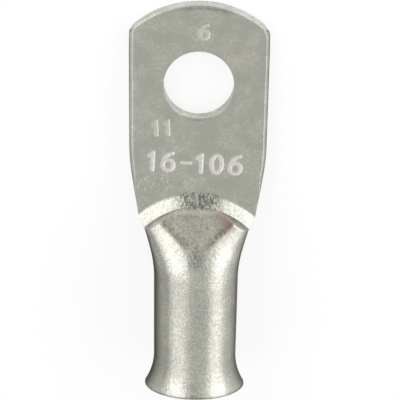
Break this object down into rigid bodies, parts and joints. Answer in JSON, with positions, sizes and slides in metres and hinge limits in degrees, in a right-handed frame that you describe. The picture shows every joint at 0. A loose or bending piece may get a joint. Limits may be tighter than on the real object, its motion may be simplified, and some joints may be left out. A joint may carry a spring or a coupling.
{
  "type": "cable lug",
  "caption": "Tin-plated copper cable lug pressed from tube: a flat palm with a stud hole, a stepped neck and a round crimp barrel with a flared mouth.",
  "frame": {"origin": "centre of the stud hole on the palm's underside, which is the contact face", "axes": "+Z along the stud hole, up out of the palm's stepped side; +Y along the lug from the barrel towards the palm's free end, so that the barrel's mouth faces -Y"},
  "size_m": [0.0134, 0.0377, 0.0094],
  "materials": {
    "tinned_copper": "satin tin plate over copper"
  },
  "bodies": {
    "root": {"cable_lug": "tinned_copper"}
  },
  "joints": []
}
